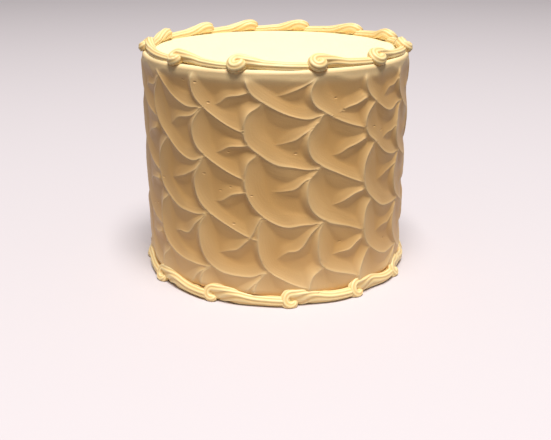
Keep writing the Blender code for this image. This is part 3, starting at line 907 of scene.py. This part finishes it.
@dataclass(frozen=True)
class ScrollBorder:
    """A ring of scrolls piped with a star nozzle, each tail running in under the next head."""

    border: Border
    sizes: ScrollSizes
    heads: tuple[float, ...]  # azimuth of each head, in radians
    body: IcedBody
    hook_stations: int = 34
    tail_stations: int = 60
    points_round: int = 56
    seed: int = 11
    end_round: float = 0.96  # how far the strand's ends close
    sink: float = 0.0002  # a strand is pressed this far into what it lies on
    arch_share: float = 0.72  # a foot scroll's arch stands free for this share of its curl
    wander: float = 0.00035  # the hand's unsteadiness, in and out
    groove_power: float = 0.7  # below 1 the ridges are rounded and the grooves sharp
    stop_short: float = 0.6  # a tail ends this share of the curl's radius before the next head

    def path(self, sizes: ScrollSizes, length: float) -> np.ndarray:
        """The strand's middle and width.

        Args:
            sizes: this scroll's own sizes.
            length: how far its tail runs along the rim.

        Returns:
            (stations, 4): along the rim, outward, up, and the strand's radius. The head is a spiral in a
            tilted plane, and the tail comes down from it by a smooth step and sinks towards its end. Both
            ends are round.
        """
        turn = np.linspace(-sizes.start_turn, math.pi, self.hook_stations, endpoint=False)
        opened = smooth((turn - turn[0]) / sizes.opening)
        wide = sizes.hook * (sizes.start_share + (1 - sizes.start_share) * opened)
        hook = np.stack((
            -wide * np.sin(turn),
            sizes.head_out + wide * np.cos(turn) * math.cos(sizes.tilt),
            sizes.head_lift - wide * np.cos(turn) * math.sin(sizes.tilt) - sizes.start_drop * (1 - opened),
            sizes.head_radius * (sizes.start_width + (1 - sizes.start_width) * opened),
        ), -1)
        run = np.linspace(0, length, self.tail_stations)
        down = smooth(run / sizes.drop_length)
        sinking = smooth((run / length - 0.3) / 0.7)
        high_out = sizes.head_out - sizes.hook * math.cos(sizes.tilt)
        high_up = sizes.head_lift + sizes.hook * math.sin(sizes.tilt)
        thin = sizes.head_radius + (sizes.tail_radius - sizes.head_radius) * down
        tail = np.stack((
            run,
            high_out + (sizes.tail_out - high_out) * smooth(run / (1.6 * sizes.drop_length)),
            high_up + (sizes.tail_lift - high_up) * down + (sizes.end_lift - sizes.tail_lift) * sinking,
            thin + (sizes.end_radius - sizes.tail_radius) * smooth(run / length),
        ), -1)
        whole = np.vstack((hook, tail))
        steps = np.linalg.norm(np.diff(whole[:, :3], axis=0), axis=1)
        gone = np.concatenate(([0], np.cumsum(steps)))
        start = np.clip(gone / whole[0, 3], 0, 1)
        end = np.clip((gone[-1] - gone) / whole[-1, 3], 0, 1)
        for share in (start, end):
            whole[:, 3] *= np.sqrt(1 - (1 - share) ** 2 * self.end_round)
        return whole

    def frames(self, middle: np.ndarray, azimuth: np.ndarray, tilt: float) -> tuple[np.ndarray, np.ndarray]:
        """Directions across and over the strand.

        Args:
            middle: the strand's middle, in space.
            azimuth: where round the cake each station is.
            tilt: slope of the hook's plane.

        Returns:
            Two (stations, 3) unit arrays. The reference direction is the hook plane's normal, which turns
            upright along the tail. Across is that direction crossed with the tangent, and over is the tangent
            crossed with across.
        """
        tangent = np.gradient(middle, axis=0)
        tangent /= np.linalg.norm(tangent, axis=1, keepdims=True)
        upright = smooth((np.arange(len(middle)) - self.hook_stations) / (0.4 * self.tail_stations))
        lean = tilt * (1 - upright)
        reference = around(np.sin(lean), azimuth, np.cos(lean))
        across = np.cross(reference, tangent)
        across /= np.linalg.norm(across, axis=1, keepdims=True)
        return across, np.cross(tangent, across)

    def settle(self, rings: np.ndarray) -> np.ndarray:
        """Presses a strand on what it lies on.

        A soft strand leaves no room there: each ring's half below its middle is stretched until it touches,
        and at the foot also its half towards the cake. What would go in deeper than the sink is flattened.

        Args:
            rings: the strand's rings, with heights over what it lies on.

        Returns:
            The rings where they belong.
        """
        radius = np.hypot(rings[..., 0], rings[..., 1])
        settled = rings.copy()
        if self.border is Border.TOP:
            middle = rings[..., 2].mean(1) + self.body.cake_height
            under = self.body.top_profile(radius.mean(1)) - self.sink
            settled[..., 2] = stretched(rings[..., 2] + self.body.cake_height, middle, under)
            settled[..., 2] = np.maximum(settled[..., 2], self.body.top_profile(radius) - self.sink)
            return settled
        settled[..., 2] = np.maximum(settled[..., 2], 0.0)
        laid = stretched(settled[..., 2], settled[..., 2].mean(1), np.zeros(len(rings)))
        past = np.arange(len(rings)) - self.arch_share * self.hook_stations
        arched = smooth(past / ((1 - self.arch_share) * self.hook_stations))
        settled[..., 2] += (laid - settled[..., 2]) * arched[:, None]
        behind = self.body.foot_profile(settled[..., 2].mean(1)) - self.sink
        pressed = stretched(radius, radius.mean(1), behind)
        pressed = np.maximum(pressed, self.body.foot_profile(settled[..., 2]) - self.sink)
        settled[..., :2] *= (pressed / radius)[..., None]
        return settled

    def scroll(self, number: int, length: float, finish: bpy.types.Material) -> bpy.types.Object:
        """Pipes one scroll.

        Args:
            number: which one, from 0.
            length: how far its tail runs along the rim.
            finish: the piped buttercream.

        Returns:
            The scroll. Its cross-section is a star: the radius falls by the groove's share between ridges, as
            a power of a raised cosine. The grooves start half as deep and grow over the curl.
        """
        rng = np.random.default_rng(self.seed + number)
        size = rng.uniform(0.93, 1.0)
        own = replace(
            self.sizes,
            hook=self.sizes.hook * rng.uniform(0.88, 1.06),
            start_turn=self.sizes.start_turn + rng.uniform(-0.10, 0.10) * math.pi,
            head_lift=self.sizes.head_lift * rng.uniform(0.95, 1.05),
            drop_length=self.sizes.drop_length * rng.uniform(0.85, 1.15),
        )
        stations = self.path(own, length)
        stations[:, 3] *= size
        wander = ripple(stations[:, 0] / length * 2.2, self.seed * 31 + number, 1, 4)
        calm = smooth((stations[:, 0] - 0.004) / 0.01)
        azimuth = self.heads[number] + stations[:, 0] / own.border_radius
        out = own.border_radius + stations[:, 1] + self.wander * wander * calm
        middle = around(out, azimuth, stations[:, 2])
        across, over = self.frames(middle, azimuth, own.tilt)
        angle = np.arange(self.points_round) * 2 * math.pi / self.points_round
        twist = rng.uniform(0, 2 * math.pi / own.ridges)
        valley = (0.5 - 0.5 * np.cos(own.ridges * (angle + twist))) ** self.groove_power
        grooved = own.groove * (0.5 + 0.5 * smooth(np.arange(len(stations)) / self.hook_stations))
        star = 1 - grooved[:, None] * (1 - valley)
        sideways = (np.cos(angle) * star)[..., None] * across[:, None]
        upwards = (np.sin(angle) * star)[..., None] * over[:, None]
        rings = middle[:, None] + stations[:, 3][:, None, None] * (sideways + upwards)
        node = f"{self.border.value}_scroll_{number + 1:02d}"
        mesh = closed_mesh(f"piped_{node}", self.settle(rings))
        shape = (len(middle), self.points_round)
        # painted shade in the grooves: the hollow colour follows the star's valleys
        mark(mesh, "rise", np.broadcast_to(valley, shape))
        lengthways = np.broadcast_to(np.arange(len(middle))[:, None] * 0.0001, shape)
        round_it = np.broadcast_to(angle * own.head_radius, shape)
        mark(mesh, "stroke", np.stack((round_it, lengthways, np.full(shape, 0.1 * number)), -1))
        mark(mesh, "burr", np.broadcast_to((1.0, 0.0, 1.0), (*shape, 3)))
        return place(mesh, finish, "piped_buttercream", node)

    def build(self, finish: bpy.types.Material) -> list[bpy.types.Object]:
        """Pipes every scroll; each tail runs on until it is under the next head.

        Args:
            finish: the piped buttercream.

        Returns:
            The scrolls.
        """
        spans = np.diff(np.append(self.heads, self.heads[0] + 2 * math.pi))
        lengths = spans * self.sizes.border_radius - self.stop_short * self.sizes.hook
        return [self.scroll(number, length, finish) for number, length in enumerate(lengths)]


@dataclass(frozen=True)
class Studio:
    """A pale floor, one soft light overhead and the camera at the photograph's viewing angle."""

    camera_distance: float = 0.5200
    camera_height: float = 0.2168
    pitch: float = math.radians(20.42)
    focal_mm: float = 54.33
    floor_half: float = 6.0
    floor_colour: str = "#CFC7C8"
    sky_colour: str = "#E9E4E8"
    sky_strength: float = 0.26
    floor_sides: int = 96
    floor_drop: float = 0.0003  # the floor lies this far under the cake
    near_floor: float = 0.125  # the floor lights the cake from this far round it
    overhead_place: tuple = (0.128, -0.832, 3.0)
    overhead_aim: tuple = (0.0, 0.0, 0.07)
    overhead_size: float = 1.28
    overhead_power: float = 138.0

    def floor(self) -> None:
        """Lays the floor, in matt paint: a disc round the cake and a square with its hole.

        Both lie flush. Only the disc sends light back to the cake, as a small table would, so the scoops'
        undersides stay dim higher up.
        """
        paint = bpy.data.materials.new("matt_floor_paint")
        paint.use_nodes = True
        tree = paint.node_tree
        tree.nodes.clear()
        shader = add_node(
            tree, "BsdfPrincipled",
            {"Base Color": linear(self.floor_colour), "Roughness": 0.75, "Specular IOR Level": 0.2},
        )
        add_node(tree, "OutputMaterial", {}, {"Surface": shader.outputs[0]})
        sides = self.floor_sides
        index = np.arange(sides)
        ring = around(np.ones(sides), index * 2 * math.pi / sides, np.zeros(sides))
        square = ring / np.abs(ring).max(1, keepdims=True)
        following = (index + 1) % sides
        wall = np.stack((index, index + sides, following + sides, following), -1)
        near = (self.near_floor * ring, [tuple(range(sides))])
        far = (np.vstack((self.near_floor * ring, self.floor_half * square)), wall.tolist())
        for name, (points, faces) in (("near_floor", near), ("far_floor", far)):
            mesh = bpy.data.meshes.new(name)
            mesh.from_pydata(points.tolist(), [], faces)
            mesh.materials.append(paint)
            floor = bpy.data.objects.new(name, mesh)
            floor.location.z = -self.floor_drop
            floor.visible_diffuse = name == "near_floor"
            bpy.context.scene.collection.objects.link(floor)

    def overhead(self) -> None:
        """Hangs the one light, a square and soft one, turned so that it looks at its aim."""
        data = bpy.data.lights.new("overhead", "AREA")
        data.shape = "SQUARE"
        data.size = self.overhead_size
        data.energy = self.overhead_power
        lamp = bpy.data.objects.new("overhead", data)
        here, there = np.array(self.overhead_place), np.array(self.overhead_aim)
        down = (there - here) / np.linalg.norm(there - here)
        lamp.location = self.overhead_place
        lamp.rotation_euler = (math.acos(-down[2]), 0.0, math.atan2(-down[0], down[1]))
        bpy.context.scene.collection.objects.link(lamp)

    def build(self) -> None:
        """Sets up floor, light, sky and camera."""
        self.floor()
        self.overhead()
        world = bpy.data.worlds.new("soft_room")
        world.use_nodes = True
        tree = world.node_tree
        tree.nodes.clear()
        sky = add_node(tree, "Background", {"Color": linear(self.sky_colour), "Strength": self.sky_strength})
        add_node(tree, "OutputWorld", {}, {"Surface": sky.outputs[0]})
        bpy.context.scene.world = world
        camera = bpy.data.objects.new("camera", bpy.data.cameras.new("camera"))
        camera.data.lens = self.focal_mm
        camera.data.sensor_width = 36.0
        camera.data.clip_start = 0.01
        camera.location = (0.0, -self.camera_distance, self.camera_height)
        camera.rotation_euler = (math.pi / 2 - self.pitch, 0.0, 0.0)
        bpy.context.scene.collection.objects.link(camera)
        bpy.context.scene.camera = camera
        bpy.context.scene.view_settings.view_transform = "Standard"


TOP_SCROLL = ScrollSizes(
    border_radius=0.0754, hook=0.0028, tilt=math.radians(38), head_lift=0.0030, head_out=0.0034,
    start_turn=0.64 * math.pi, start_share=0.50, start_width=1.15, start_drop=-0.0010, head_radius=0.0034,
    tail_radius=0.0031, end_radius=0.0027, tail_lift=0.0017, end_lift=0.0008, tail_out=0.0020,
    drop_length=0.018, opening=0.95 * math.pi, ridges=8, groove=0.13,
)
FOOT_SCROLL = ScrollSizes(
    border_radius=0.0816, hook=0.0042, tilt=math.radians(68), head_lift=0.0040, head_out=0.0002,
    start_turn=0.42 * math.pi, start_share=0.44, start_width=0.72, start_drop=0.0, head_radius=0.0034,
    tail_radius=0.0032, end_radius=0.0032, tail_lift=0.0036, end_lift=0.0030, tail_out=0.0,
    drop_length=0.028, opening=0.90 * math.pi, ridges=8, groove=0.16,
)
TOP_HEADS = (-83.5, -43.8, -14.8, 17.0, 46.2, 81.8, 110.0, 136.5, 167.0, 193.2, 217.8, 247.2)  # degrees
FOOT_HEADS = (6.8, 37.2, 65.2, 94.0, 123.5, 153.5, 183.5, 213.5, 243.5, 274.5, 302.5, 333.5)  # degrees


def main() -> None:
    """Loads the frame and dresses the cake."""
    logging.basicConfig(level=logging.INFO, format="%(name)s: %(message)s")
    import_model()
    low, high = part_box("cake_body")
    body = IcedBody(cake_height=high[2], shoulder_radius=(high[0] - low[0]) / 2)
    log.info("lip radius %.4f m, height %.4f m", body.lip_radius, body.cake_height)
    body.build(SPREAD_BUTTERCREAM.material())
    piped = PIPED_BUTTERCREAM.material()
    top_heads = tuple(math.radians(head) for head in TOP_HEADS)
    foot_heads = tuple(math.radians(head) for head in FOOT_HEADS)
    ScrollBorder(Border.TOP, TOP_SCROLL, top_heads, body).build(piped)
    ScrollBorder(Border.FOOT, FOOT_SCROLL, foot_heads, body).build(piped)
    Studio().build()


if __name__ == "__main__":
    main()
